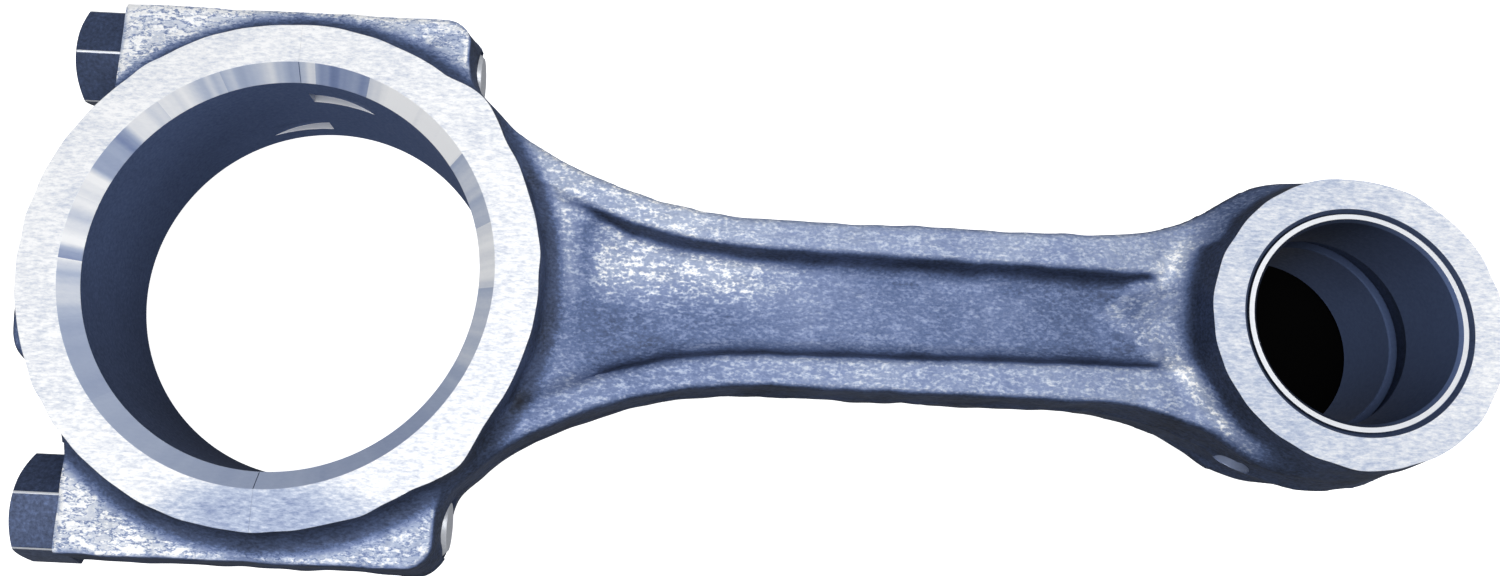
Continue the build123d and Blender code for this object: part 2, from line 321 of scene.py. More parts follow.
def surface_nets(field, low, high, step):
    """Vertices and quads of the zero surface of a field, one vertex in each crossed cell."""
    axes = [np.arange(a, b + step, step) for a, b in zip(low, high)]
    grid = np.meshgrid(*axes, indexing="ij")
    values = field(*grid)
    inside = values < 0
    cells = tuple(n - 1 for n in values.shape)
    total = np.zeros(cells + (3,))
    count = np.zeros(cells)
    for axis in range(3):
        others = [a for a in range(3) if a != axis]
        for p in (0, 1):
            for q in (0, 1):
                offset = [0, 0, 0]
                offset[others[0]] = p
                offset[others[1]] = q
                start = tuple(slice(offset[a], offset[a] + cells[a]) for a in range(3))
                offset[axis] = 1
                stop = tuple(slice(offset[a], offset[a] + cells[a]) for a in range(3))
                crossed = inside[start] != inside[stop]
                v0 = values[start][crossed]
                v1 = values[stop][crossed]
                place = np.zeros((len(v0), 3))
                place[:, others[0]] = p
                place[:, others[1]] = q
                place[:, axis] = v0 / (v0 - v1)
                total[crossed] += place
                count[crossed] += 1
    used = count > 0
    index = np.full(cells, -1)
    index[used] = np.arange(used.sum())
    origin = np.stack([g[:-1, :-1, :-1][used] for g in grid], axis=1)
    points = origin + step * total[used] / count[used][:, None]

    quads = []
    for axis in range(3):
        b, c = [(1, 2), (2, 0), (0, 1)][axis]
        size = list(cells)
        first = [slice(None)] * 3
        first[b] = slice(1, size[b])
        first[c] = slice(1, size[c])
        ahead = list(first)
        first[axis] = slice(0, size[axis])
        ahead[axis] = slice(1, size[axis] + 1)
        here = inside[tuple(first)]
        there = inside[tuple(ahead)]
        where = np.argwhere(here != there)
        outward = here[tuple(where.T)]
        base = where.copy()
        base[:, b] += 1
        base[:, c] += 1
        ring = []
        for db, dc in ((-1, -1), (0, -1), (0, 0), (-1, 0)):
            cell = base.copy()
            cell[:, b] += db
            cell[:, c] += dc
            ring.append(index[tuple(cell.T)])
        quad = np.stack(ring, axis=1)
        quad[~outward] = quad[~outward][:, ::-1]
        quads.append(quad)
    return points, np.concatenate(quads)


def forging_mesh():
    """The rod and cap forging as one closed mesh, its points moved onto the zero surface of the field."""
    margin = 2.0
    rounds = 3
    least_steepness = 0.2
    low = (RIB_BACK_X - margin, -LUG_HALF_Y - margin, -HALF - STOCK - margin)
    high = (CENTRES + EYE_MID_R + margin, LUG_HALF_Y + margin, HALF + STOCK + margin)
    points, quads = surface_nets(forging_field, low, high, GRID_STEP)
    for _ in range(rounds):
        slope = field_gradient(points)
        steep = np.maximum((slope**2).sum(axis=1), least_steepness)
        move = slope * (forging_field(*points.T) / steep)[:, None]
        points -= np.clip(move, -GRID_STEP / 2, GRID_STEP / 2)
    return mesh_object("forging", points, quads)


# ------------------------------------------------------------------ mesh helpers


def mesh_object(name, points, faces):
    """A linked object from points in millimetres."""
    mesh = bpy.data.meshes.new(name)
    mesh.from_pydata((np.asarray(points) * MM).tolist(), [], [list(map(int, f)) for f in faces])
    mesh.update()
    obj = bpy.data.objects.new(name, mesh)
    bpy.context.scene.collection.objects.link(obj)
    return obj


def lathe(name, profile, centre=(0, 0, 0), axis="Z", steps=ROUND_STEPS):
    """A closed ring or disc turned from (radius, height) points listed anticlockwise."""
    angles = np.arange(steps) * 2 * math.pi / steps
    points, rows = [], []
    for radius, height in profile:
        if radius <= 1e-9:
            rows.append([len(points)] * steps)
            points.append((0, 0, height))
        else:
            rows.append(list(range(len(points), len(points) + steps)))
            points += [(radius * math.cos(a), radius * math.sin(a), height) for a in angles]
    faces = []
    for lower, upper in zip(rows, rows[1:] + rows[:1]):
        if lower[0] == lower[1] and upper[0] == upper[1]:
            continue
        for i in range(steps):
            j = (i + 1) % steps
            corners = [lower[i], lower[j], upper[j], upper[i]]
            faces.append(list(dict.fromkeys(corners)))
    points = np.array(points, float)
    if axis == "X":
        points = points[:, [2, 0, 1]]
    return mesh_object(name, points + np.array(centre), faces)


def disc_profile(radius, low, high):
    """The profile of a plain cylinder."""
    return [(0, low), (radius, low), (radius, high), (0, high)]


def block(name, low, high):
    """An axis-aligned box between two corners."""
    x0, y0, z0 = low
    x1, y1, z1 = high
    points = [(x, y, z) for x in (x0, x1) for y in (y0, y1) for z in (z0, z1)]
    faces = [(0, 1, 3, 2), (4, 6, 7, 5), (0, 4, 5, 1), (2, 3, 7, 6), (0, 2, 6, 4), (1, 5, 7, 3)]
    return mesh_object(name, points, faces)


def combine(target, tool, operation="DIFFERENCE", materials=None, pick=None):
    """Applies one boolean to the target and removes the tool.

    pick chooses, for each face of the tool, which of the materials it leaves behind.
    """
    if materials is not None:
        tool.data.materials.clear()
        for material in materials:
            tool.data.materials.append(material)
        if pick is not None:
            for polygon in tool.data.polygons:
                polygon.material_index = pick(polygon)
    modifier = target.modifiers.new("cut", "BOOLEAN")
    modifier.operation = operation
    modifier.solver = "MANIFOLD"
    modifier.object = tool
    modifier.material_mode = "TRANSFER"
    graph = bpy.context.evaluated_depsgraph_get()
    made = bpy.data.meshes.new_from_object(target.evaluated_get(graph))
    target.modifiers.clear()
    old = target.data
    target.data = made
    bpy.data.meshes.remove(old)
    bpy.data.objects.remove(tool)
    return target


def copy_of(obj, name):
    """A linked copy with a mesh of its own."""
    twin = obj.copy()
    twin.data = obj.data.copy()
    twin.name = name
    twin.data.name = name
    bpy.context.scene.collection.objects.link(twin)
    return twin


def finish_piece(obj, name, body, nodes, sharp=28.0):
    """Shades a piece, names it and puts it in place of its CAD nodes."""
    obj.name = name
    obj.data.name = name
    obj.data.shade_smooth()
    obj.data.set_sharp_from_angle(angle=math.radians(sharp))
    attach(obj, body)
    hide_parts(*nodes)
    return obj


# ------------------------------------------------------------------ shader helpers


class Shader:
    """A short way to write a node tree in object space, in millimetres."""

    def __init__(self, name):
        self.material = bpy.data.materials.new(name)
        self.material.use_nodes = True
        self.tree = self.material.node_tree
        self.surface = self.tree.nodes["Principled BSDF"]
        coordinates = self.node("ShaderNodeTexCoord")
        scale = self.node("ShaderNodeVectorMath", operation="SCALE")
        scale.inputs["Scale"].default_value = 1 / MM
        self.link(coordinates.outputs["Object"], scale.inputs[0])
        self.place = scale.outputs["Vector"]

    def node(self, kind, **settings):
        made = self.tree.nodes.new(kind)
        for key, value in settings.items():
            setattr(made, key, value)
        return made

    def link(self, source, target):
        self.tree.links.new(source, target)

    def feed(self, socket, value):
        """Links a node's output to a socket, or sets the socket to a number."""
        if isinstance(value, bpy.types.NodeSocket):
            self.link(value, socket)
        else:
            socket.default_value = value

    def math(self, operation, a, b=0.0):
        made = self.node("ShaderNodeMath", operation=operation)
        self.feed(made.inputs[0], a)
        self.feed(made.inputs[1], b)
        return made.outputs[0]

    def axes(self):
        """The X, Y and Z of the place on the part."""
        made = self.node("ShaderNodeSeparateXYZ")
        self.link(self.place, made.inputs[0])
        return made.outputs["X"], made.outputs["Y"], made.outputs["Z"]

    def stretched(self, factors):
        """The place on the part, scaled along each axis."""
        made = self.node("ShaderNodeVectorMath", operation="MULTIPLY")
        self.link(self.place, made.inputs[0])
        made.inputs[1].default_value = factors
        return made.outputs[0]

    def noise(self, size, detail=3.0, roughness=0.5, stretch=None):
        """Noise with features of a size in millimetres."""
        made = self.node("ShaderNodeTexNoise")
        self.link(self.stretched(stretch) if stretch else self.place, made.inputs["Vector"])
        made.inputs["Scale"].default_value = 1 / size
        made.inputs["Detail"].default_value = detail
        made.inputs["Roughness"].default_value = roughness
        return made.outputs[0]

    def spread(self, value, width):
        """A value about a half, turned into a change about nought."""
        return self.math("MULTIPLY", self.math("SUBTRACT", value, 0.5), width)

    def cells(self, size):
        """Distance to the nearest of scattered points, about a size in millimetres apart."""
        made = self.node("ShaderNodeTexVoronoi")
        self.link(self.place, made.inputs["Vector"])
        made.inputs["Scale"].default_value = 1 / size
        return made.outputs["Distance"]

    def ramp(self, value, stops):
        """A colour or grey ramp from (position, value) stops."""
        made = self.node("ShaderNodeValToRGB")
        ramp = made.color_ramp
        while len(ramp.elements) < len(stops):
            ramp.elements.new(0.5)
        for element, (position, shade) in zip(ramp.elements, stops):
            colour = shade if isinstance(shade, tuple) else (shade, shade, shade)
            element.position = position
            element.color = (*colour, 1.0)
        self.feed(made.inputs[0], value)
        return made.outputs[0]

    def attribute(self, name):
        made = self.node("ShaderNodeAttribute", attribute_name=name)
        return made.outputs["Fac"]

    def bump(self, height, distance, strength=1.0, normal=None):
        made = self.node("ShaderNodeBump")
        made.inputs["Strength"].default_value = strength
        made.inputs["Distance"].default_value = distance * MM
        self.feed(made.inputs["Height"], height)
        if normal is not None:
            self.link(normal, made.inputs["Normal"])
        return made.outputs["Normal"]

    def edge(self, radius):
        """A normal that rounds sharp edges by a radius in millimetres."""
        made = self.node("ShaderNodeBevel", samples=4)
        made.inputs["Radius"].default_value = radius * MM
        return made.outputs["Normal"]

    def set(self, **sockets):
        """Feeds the surface shader and returns the finished material."""
        names = {
            "color": "Base Color",
            "metallic": "Metallic",
            "roughness": "Roughness",
            "normal": "Normal",
            "specular": "Specular IOR Level",
        }
        for key, value in sockets.items():
            self.feed(self.surface.inputs[names[key]], value)
        return self.material


# ------------------------------------------------------------------ materials


# Tones of steel from near black (0) to white (1), with a cool cast in the middle.
STEEL = [
    (0.00, (0.004, 0.005, 0.009)),
    (0.11, (0.010, 0.012, 0.021)),
    (0.21, (0.027, 0.038, 0.070)),
    (0.35, (0.072, 0.102, 0.198)),
    (0.43, (0.112, 0.162, 0.314)),
    (0.56, (0.220, 0.279, 0.462)),
    (0.74, (0.445, 0.509, 0.651)),
    (0.93, (0.831, 0.847, 0.880)),
    (1.00, (0.960, 0.965, 0.975)),
]
# Sizes in millimetres of what the noises draw.
CLOUD_SIZE = 11.0
GRAIN_SIZE = 0.55
CLUMP_SIZE = 1.4
PIT_SIZE = 0.9
STREAK_SIZE = 1.0
SLOW_SIZE = 7.0


def forged_material():
    """Shot-blasted forging: blue-grey scale with bright flecks and short dark worms.

    The broad light and shade come from the "tone" that paint_forging stores.
    """
    s = Shader("forged_steel")
    broad = s.noise(CLOUD_SIZE, 2.0)
    grain = s.noise(GRAIN_SIZE, 3.0, 0.6, stretch=(0.7, 1.1, 1.0))
    clumps = s.noise(CLUMP_SIZE, 3.0, 0.6, stretch=(0.55, 1.35, 1.0))
    pits = s.cells(PIT_SIZE)

    tone = s.math("ADD", s.attribute("tone"), s.spread(broad, 0.22))
    tone = s.math("ADD", tone, s.spread(grain, 0.30))
    worms = s.math("ABSOLUTE", s.math("SUBTRACT", clumps, 0.5))
    worms = s.ramp(worms, [(0.010, 1.0), (0.040, 0.0)])
    worms = s.math("MULTIPLY", worms, s.attribute("squiggle"))
    tone = s.math("SUBTRACT", tone, s.math("MULTIPLY", worms, 0.38))
    speck = s.math("ADD", s.math("MULTIPLY", grain, 0.5), s.math("MULTIPLY", clumps, 0.5))
    flecks = s.ramp(speck, [(0.49, 0.0), (0.62, 1.0)])
    flecks = s.math("MULTIPLY", flecks, s.attribute("fleck"))
    tone = s.math("ADD", tone, s.math("MULTIPLY", flecks, 0.42))

    height = s.math("ADD", s.math("MULTIPLY", grain, 0.5), s.math("MULTIPLY", clumps, 0.6))
    height = s.math("ADD", height, s.math("MULTIPLY", pits, 0.3))
    rough = s.ramp(clumps, [(0.3, 0.62), (0.7, 0.46)])
    return s.set(
        color=s.ramp(tone, STEEL),
        metallic=0.3,
        roughness=rough,
        specular=0.3,
        normal=s.bump(height, 0.22, 0.8),
    )


def ground_material(name, level, variation=0.06, roughness=0.36, metallic=0.4, **options):
    """A machined face with short fine streaks and slow cloudiness.

    level is its mean tone. stretch shapes the streaks, and adjust changes the tone from place to place.
    """
    stretch = options.get("stretch", (0.8, 2.3, 1.0))
    adjust = options.get("adjust")
    s = Shader(name)
    lines = s.noise(STREAK_SIZE, 3.0, 0.65, stretch=stretch)
    cloud = s.noise(SLOW_SIZE, 2.0)
    tone = s.math("ADD", s.spread(lines, 2.2 * variation), s.spread(cloud, 0.6 * variation))
    tone = s.math("ADD", tone, level)
    if adjust is not None:
        tone = adjust(s, tone)
    return s.set(
        color=s.ramp(tone, STEEL),
        metallic=metallic,
        roughness=s.ramp(lines, [(0.3, roughness + 0.08), (0.7, roughness - 0.06)]),
        specular=options.get("specular", 0.5),
        normal=s.bump(lines, 0.02, 0.5, s.edge(0.15)),
    )


def face_changes(s, tone):
    """A darker patch on the lower side of the big-end face, and painted shade on the small-end face."""
    x, y, _ = s.axes()
    across = s.math("DIVIDE", s.math("SUBTRACT", x, 3.0), 22.0)
    down = s.math("DIVIDE", s.math("ADD", y, 41.5), 8.0)
    reach = s.math("ADD", s.math("MULTIPLY", across, across), s.math("MULTIPLY", down, down))
    patch = s.ramp(reach, [(0.15, 1.0), (1.0, 0.0)])
    tone = s.math("SUBTRACT", tone, s.math("MULTIPLY", patch, 0.25))
    # Painted shade: the small-end face is painted darker, where less light falls.
    along = s.math("DIVIDE", x, 220.0)
    eye = s.ramp(along, [(0.60, 0.0), (0.70, 1.0), (0.85, 0.7), (1.0, 0.1)])
    return s.math("SUBTRACT", tone, s.math("MULTIPLY", eye, 0.15))


def bore_changes(s, tone):
    """Painted light: a bored wall painted a little lighter on the side of the notches, where more light
    falls.
    """
    x, y, _ = s.axes()
    side = s.math("DIVIDE", s.math("ADD", y, s.math("MULTIPLY", x, 0.5)), 40.0)
    side = s.math("MULTIPLY", s.math("ADD", side, 1.0), 0.5)
    lit = s.ramp(side, [(0.05, 0.0), (0.30, 0.55), (0.93, 1.0)])
    return s.math("ADD", tone, s.math("MULTIPLY", lit, 0.16))


def bush_changes(s, tone):
    """Painted light: a bush bore painted lighter on the side away from the shank, where more light falls."""
    x, _, _ = s.axes()
    along = s.math("DIVIDE", s.math("SUBTRACT", x, CENTRES - PIN_R), 2 * PIN_R)
    lit = s.ramp(along, [(0.0, 0.0), (0.5, 0.2), (1.0, 1.0)])
    return s.math("ADD", tone, s.math("MULTIPLY", lit, 0.30))


def chamfer_reflections(s, tone):
    """Painted reflections: light and dark lengths round a turned chamfer, standing for the surroundings
    mirrored in it.
    """
    x, y, _ = s.axes()
    angle = s.math("ARCTAN2", y, x)
    turn = s.math("ADD", s.math("DIVIDE", angle, 2 * math.pi), 0.5)
    strips = s.node("ShaderNodeTexVoronoi", voronoi_dimensions="1D")
    strips.inputs["Scale"].default_value = 3.2
    s.link(angle, strips.inputs["W"])
    split = s.node("ShaderNodeSeparateColor")
    s.link(strips.outputs["Color"], split.inputs[0])
    fine = s.node("ShaderNodeTexNoise", noise_dimensions="1D")
    fine.inputs["Scale"].default_value = 9.0
    s.link(angle, fine.inputs["W"])
    stripes = s.math("ADD", s.spread(split.outputs[0], 0.30), s.spread(fine.outputs[0], 0.40))

    # Dark chatter marks, ten to a turn, on the upper left only.
    chatter = s.math("COSINE", s.math("SUBTRACT", s.math("MULTIPLY", angle, 10.0), math.radians(1480)))
    chatter = s.ramp(chatter, [(0.1, 0.0), (0.5, 1.0)])
    left = s.ramp(turn, [(0.80, 0.0), (0.86, 1.0)])
    marks = s.math("MULTIPLY", s.math("MULTIPLY", chatter, left), 0.28)
    stripes = s.math("SUBTRACT", stripes, marks)

    # Painted shade: the lower side is painted even and darker, with weaker painted reflections; a length of
    # the upper side is slightly darker.
    even = s.ramp(turn, [(0.03, 0.0), (0.05, 1.0), (0.38, 1.0), (0.46, 0.0)])
    upper = s.ramp(turn, [(0.68, 0.0), (0.69, 1.0), (0.84, 1.0), (0.89, 0.0)])
    strong = s.math("SUBTRACT", 1.0, s.math("MULTIPLY", even, 0.8))
    tone = s.math("ADD", tone, s.math("MULTIPLY", stripes, strong))
    tone = s.math("SUBTRACT", tone, s.math("MULTIPLY", upper, 0.15))
    return s.math("SUBTRACT", tone, s.math("MULTIPLY", even, 0.22))


# ------------------------------------------------------------------ tone of the forged surface


FORGED_TONE = 0.59
# Painted shade: the dark tone of walls and of the foot of the ring.
WALL_SHADE_TONE = 0.26  # of walls, and of the foot of the ring
# What each zone adds to the tone. The zones are set out in forged_zones.
ZONE_TONES = {
    "lug": 0.27,
    "lug_rod_end": -0.12,
    # Painted light: the upper flange is painted lighter and the lower flange darker by the ring, standing for
    # light that falls from the -y side.
    "upper_flange": 0.02,
    "upper_flange_by_ring": 0.08,
    "lower_flange_by_ring": -0.10,
    "web": -0.11,
    "web_by_ring": -0.05,
    # Painted shade: the web and the small end are painted darker towards the small end, where less light
    # falls.
    "web_shade_by_eye": -0.08,
    # Painted highlight on the web near the big end.
    "web_highlight_patch": 0.26,
    # Painted highlight on the slope of the vee.
    "vee_highlight": 0.17,
    "eye": -0.16,
}
# Painted highlight along convex edges of the forging.
EDGE_HIGHLIGHT_TONE = 0.26
LOWER_BOSS_BAND_TONE = 0.22
VEE_MIDDLE_Y = 1.5
HIDDEN_REACHES = (1.0, 2.0, 3.5, 5.5)


def rise(value, start, run):
    """0 up to a start, and smoothly up to 1 over a run."""
    return smooth_step((value - start) / run)


def fall(value, stop, run):
    """1 until a run before the stop, and smoothly down to 0 at it."""
    return smooth_step((stop - value) / run)


def hidden_share(points, normal):
    """How closely other metal stands over each point: 0 in the open and more in a fillet."""
    hidden = np.zeros(len(points))
    for reach in HIDDEN_REACHES:
        open_way = forging_field(*(points + normal * reach).T)
        hidden += np.clip((reach - open_way) / reach, 0, 1) / len(HIDDEN_REACHES)
    return hidden


def forged_zones(points, normal):
    """How much each point belongs to each zone of the forging, from 0 to 1."""
    x, y, z = points.T
    up = np.abs(z)
    facing = np.abs(normal[:, 2])
    upper_edge = smooth_step(normal[:, 1] * 4) * rise(np.abs(y), 13, 1.5)
    lug = rise(up, SHANK_HALF_Z + 0.6, 0.8) * fall(x, 34, 4)
    web = fall(up, SHANK_HALF_Z - 1.4, 2.0) * rise(x, 44, 6)
    upper_side = rise(y, -6, 12)
    by_ring = fall(x, 88, 20)
    upper_flange = upper_side * (1 - lug) * (1 - web)
    lower_flange = (1 - upper_side) * (1 - lug) * (1 - web)
    off_middle = np.abs(y - VEE_MIDDLE_Y)
    vee_place = (x - WEB_RISE_X - 1.5 - 0.95 * off_middle) / 6
    # The slope of the vee, where a highlight is painted.
    vee_highlight = smooth_step(vee_place * 3) * smooth_step((1.5 - vee_place) * 0.9) * (x > WEB_RISE_X)
    # A lighter band round the boss, on its lower side only.
    lower_boss_band = np.exp(-(((np.hypot(x - CENTRES, y) - 27.6) / 1.8) ** 2)) * fall(y, -6, 6)
    return SimpleNamespace(
        flat=smooth_step((facing - 0.45 + 0.35 * upper_edge) / 0.5),
        lug=lug,
        lug_rod_end=lug * rise(x, 6, 14),
        web=web,
        web_by_ring=web * by_ring,
        web_shade_by_eye=web * rise(x, 120, 20),
        upper_flange=upper_flange,
        upper_flange_by_ring=upper_flange * by_ring,
        lower_flange=lower_flange,
        lower_flange_by_ring=lower_flange * by_ring,
        # Where a highlight is painted on the web near the big end.
        web_highlight_patch=web * fall(x, 98, 20) * rise(x, 51, 5) * rise(y, -4, 10),
        vee_highlight=vee_highlight * fall(off_middle, 15, 5),
        eye=rise(x, 157, 9),
        ring_foot=fall(np.hypot(x, y), 49.6, 3.2),
        ring_corner=(1 - lug) * fall(x, 54, 6),
        pocket_end=rise(x, 136, 8) * fall(np.abs(y), 8.5, 2),
        lower_boss_band=lower_boss_band * fall(x, 174, 6) * rise(facing, 0.3, 0.3),
    )


def forged_tone(points, normal, hidden, zone):
    """Tone from 0 to 1, with painted light and shade: lighter on what faces up, painted shade on walls and in
    fillets, a painted highlight on convex edges.
    """
    tone = FORGED_TONE
    for name, change in ZONE_TONES.items():
        tone = tone + change * getattr(zone, name)
    # Painted shade: walls and the foot of the ring are painted towards the wall tone; what faces up keeps the
    # lighter tone.
    tone = WALL_SHADE_TONE + (tone - WALL_SHADE_TONE) * zone.flat * (1 - 0.9 * zone.ring_foot)
    # Painted shade in fillets and recesses, where other metal stands close over the surface; weaker on the
    # vee, in the corner by the ring and at the pocket end.
    shade = np.clip(hidden - 0.06, 0, 0.34) * (0.4 + 0.6 * zone.flat)
    shade = shade * (1 - 0.6 * zone.vee_highlight) * (1 - 0.55 * zone.ring_corner) * (1 - 0.7 * zone.pocket_end)
    tone = tone - 1.3 * shade
    # Painted highlight on convex, rounded edges.
    edge_highlight = rise(forging_field(*(points - normal * 1.2).T), -1.12, 0.3)
    tone = tone + EDGE_HIGHLIGHT_TONE * edge_highlight * rise(np.abs(normal[:, 2]), 0.35, 0.3)
    return tone + LOWER_BOSS_BAND_TONE * zone.lower_boss_band


def forged_flecks(points, hidden, zone):
    """How many bright flecks a point gets, from 0 to 1."""
    x = points[:, 0]
    # More bright flecks on the painted highlights of the web patch and the vee; fewer on walls and in
    # fillets, where shade is painted.
    fleck = 0.25 + 0.60 * zone.lug * (1 - 0.5 * rise(x, 4, 14)) + 0.85 * zone.web_highlight_patch + 0.35 * zone.vee_highlight
    fleck = fleck + 0.1 * zone.upper_flange + 0.35 * zone.upper_flange_by_ring + 0.2 * zone.lower_flange
    fleck = fleck * rise(zone.flat, 0.5, 0.4) * np.clip(1 - 3.0 * hidden, 0, 1) * (1 - zone.ring_foot)
    return fleck + 0.5 * zone.lower_boss_band


def paint_forging(obj):
    """Stores the tone with its painted light and shade, the flecks and the worms of the forged surface at
    each vertex.
    """
    mesh = obj.data
    points = np.empty(len(mesh.vertices) * 3)
    mesh.vertices.foreach_get("co", points)
    points = points.reshape(-1, 3) / MM
    slope = field_gradient(points)
    normal = slope / np.maximum(np.linalg.norm(slope, axis=1), 1e-6)[:, None]
    hidden = hidden_share(points, normal)
    zone = forged_zones(points, normal)
    tone = forged_tone(points, normal, hidden, zone)
    fleck = forged_flecks(points, hidden, zone)
    for name, data in (("tone", tone), ("fleck", fleck), ("squiggle", zone.lug * fleck)):
        layer = mesh.attributes.new(name, "FLOAT", "POINT")
        layer.data.foreach_set("value", np.clip(data, 0, 1).astype(np.float32))


# ------------------------------------------------------------------ pieces


def bore_tool(radius, chamfer, centre_x):
    """The solid that a chamfered through bore removes."""
    extra = 3.0
    top = HALF + extra
    mouth = radius + chamfer
    profile = [
        (0, -top),
        (mouth + extra, -top),
        (mouth, -HALF),
        (radius, -HALF + chamfer),
        (radius, HALF - chamfer),
        (mouth, HALF),
        (mouth + extra, top),
        (0, top),
    ]
    return lathe("tool", profile, (centre_x, 0, 0))


def is_chamfer(polygon):
    """1 on the sloping mouth of a bore tool and 0 on its wall."""
    return int(0.3 < abs(polygon.normal.z) < 0.9)


def is_ledge(polygon):
    """1 on the flat sides of a notch cutter and 0 on its rim."""
    return int(abs(polygon.normal.z) > 0.9)


def machine_forging(obj, looks):
    """Cuts the faces, bores, seats and the oil hole."""
    for side in (1, -1):
        edge = sorted((side * HALF, side * FAR))
        face = block("tool", (-FAR, -FAR, edge[0]), (FAR, FAR, edge[1]))
        combine(obj, face, materials=[looks["face"]])
        edge = sorted((side * SEAT_INNER_Y, side * FAR))
        seat = block("tool", (-FAR, edge[0], -FAR), (SEAT_X, edge[1], FAR))
        combine(obj, seat, materials=[looks["seat"]])
    wall_and_chamfer = [looks["bore"], looks["chamfer"]]
    combine(obj, bore_tool(BORE_R, BORE_CHAMFER, 0), materials=wall_and_chamfer, pick=is_chamfer)
    combine(obj, bore_tool(EYE_BORE_R, EYE_CHAMFER, CENTRES), materials=[looks["pin_bore"]])
    drill = lathe("tool", disc_profile(OIL_HOLE_R, EYE_BORE_R - 1, FAR), axis="X", steps=48)
    floor = EYE_MID_R - OIL_SINK_DEPTH
    rim = EYE_MID_R - OIL_SINK_RIM
    cone = [(0, floor), (OIL_HOLE_R, floor), (OIL_SINK_R, rim), (OIL_SINK_R, FAR), (0, FAR)]
    sink = lathe("tool", cone, axis="X", steps=64)
    for tool, look in ((drill, "hole"), (sink, "seat")):
        tool.rotation_euler = (0, 0, OIL_HOLE_ANGLE)
        tool.location = (CENTRES * MM, 0, 0)
        bpy.context.view_layer.update()
        combine(obj, tool, materials=[looks[look]])
    return obj


def cut_notch(obj, side, looks):
    """The milled notch for the tang of a bearing shell."""
    notch_z = ROD_NOTCH_Z if side > 0 else CAP_NOTCH_Z
    centre_y = BORE_R + NOTCH_DEPTH - NOTCH_CUTTER_R
    profile = disc_profile(NOTCH_CUTTER_R, notch_z - NOTCH_WIDTH / 2, notch_z + NOTCH_WIDTH / 2)
    cutter = lathe("tool", profile, (0, centre_y, 0))
    combine(obj, cutter, materials=[looks["bore"], looks["ledge"]], pick=is_ledge)


def break_joint(obj, looks):
    """A fine groove across the front bore chamfer, where the joint shows."""
    half = JOINT_BREAK_LENGTH / 2
    for way in (1, -1):
        groove = block("tool", (-JOINT_BREAK, -half, -JOINT_BREAK), (JOINT_BREAK, half, JOINT_BREAK))
        groove.rotation_euler = (way * math.radians(45), 0, 0)
        groove.location = (0, way * (BORE_R + BORE_CHAMFER / 2) * MM, (HALF - BORE_CHAMFER / 2) * MM)
        bpy.context.view_layer.update()
        combine(obj, groove, materials=[looks["bore"]])


def machine_half(obj, side, looks):
    """Cuts one half at the joint: side is 1 for the rod and -1 for the cap."""
    gone = sorted((0, -side * FAR))
    other_half = block("tool", (gone[0], -FAR, -FAR), (gone[1], FAR, FAR))
    combine(obj, other_half, materials=[looks["joint"]])
    cut_notch(obj, side, looks)
    break_joint(obj, looks)
    bolt_hole_r = BOLT_TAP_R if side > 0 else BOLT_HOLE_R
    dowel_hole_r = DOWEL_R + (0 if side > 0 else DOWEL_CLEARANCE)
    low_x, high_x = sorted((-side, side * DOWEL_HOLE_DEPTH))
    for way in (1, -1):
        bolt_hole = lathe("tool", disc_profile(bolt_hole_r, -FAR, FAR), (0, way * BOLT_Y, 0), "X", 96)
        combine(obj, bolt_hole, materials=[looks["hole"]])
        dowel_y = way * (DOWEL_LOW.y + DOWEL_HIGH.y) / 2
        dowel_z = way * (DOWEL_LOW.z + DOWEL_HIGH.z) / 2
        profile = disc_profile(dowel_hole_r, low_x, high_x)
        dowel_hole = lathe("tool", profile, (0, dowel_y, dowel_z), "X", 48)
        combine(obj, dowel_hole, materials=[looks["hole"]])
    return obj


def hexagon_head(turn, looks):
    """The bolt head: a hexagon with narrow rounded corners, chamfered to a round end. The middle of each
    corner takes the second look, bright from wear and partly a painted highlight.
    """
    corner_r = HEAD_FLATS / math.sqrt(3)
    inner = corner_r - HEAD_CORNER_R / math.cos(math.radians(30))
    plan = []
    steps = range(-2, 3)  # round each worn corner
    for i in range(6):
        middle = turn + math.radians(60 * i)
        for step in steps:
            a = middle + math.radians(15 * step)
            across_z = inner * math.cos(middle) + HEAD_CORNER_R * math.cos(a)
            across_y = inner * math.sin(middle) + HEAD_CORNER_R * math.sin(a)
            plan.append((across_y, across_z))
    count = len(plan)
    low, high = HEAD_END_X, SEAT_X - WASHER_HEIGHT
    points = [(x, y, z) for x in (low, high) for y, z in plan]
    faces = [[count + i, count + (i + 1) % count, (i + 1) % count, i] for i in range(count)]
    faces.append(list(range(count)))
    faces.append(list(range(count, 2 * count))[::-1])
    head = mesh_object("head", points, faces)
    for look in looks:
        head.data.materials.append(look)
    for index in range(count):
        in_middle_of_corner = index % len(steps) in (1, 2)
        head.data.polygons[index].material_index = int(in_middle_of_corner)
    end_r = HEAD_FLATS / 2 - HEAD_END_INSET
    past_r = corner_r + 0.4  # the cone and the cylinder behind it run just outside the corners
    crown = [
        (0, low - 1),
        (end_r - HEAD_END_BEVEL, low - 1),
        (end_r - HEAD_END_BEVEL, low),
        (end_r, low + HEAD_END_BEVEL / 4),
        (past_r, low + HEAD_CROWN + 0.2),
        (past_r, high + 1),
        (0, high + 1),
    ]
    return combine(head, lathe("crown", crown, axis="X"), "INTERSECT", looks[:1])


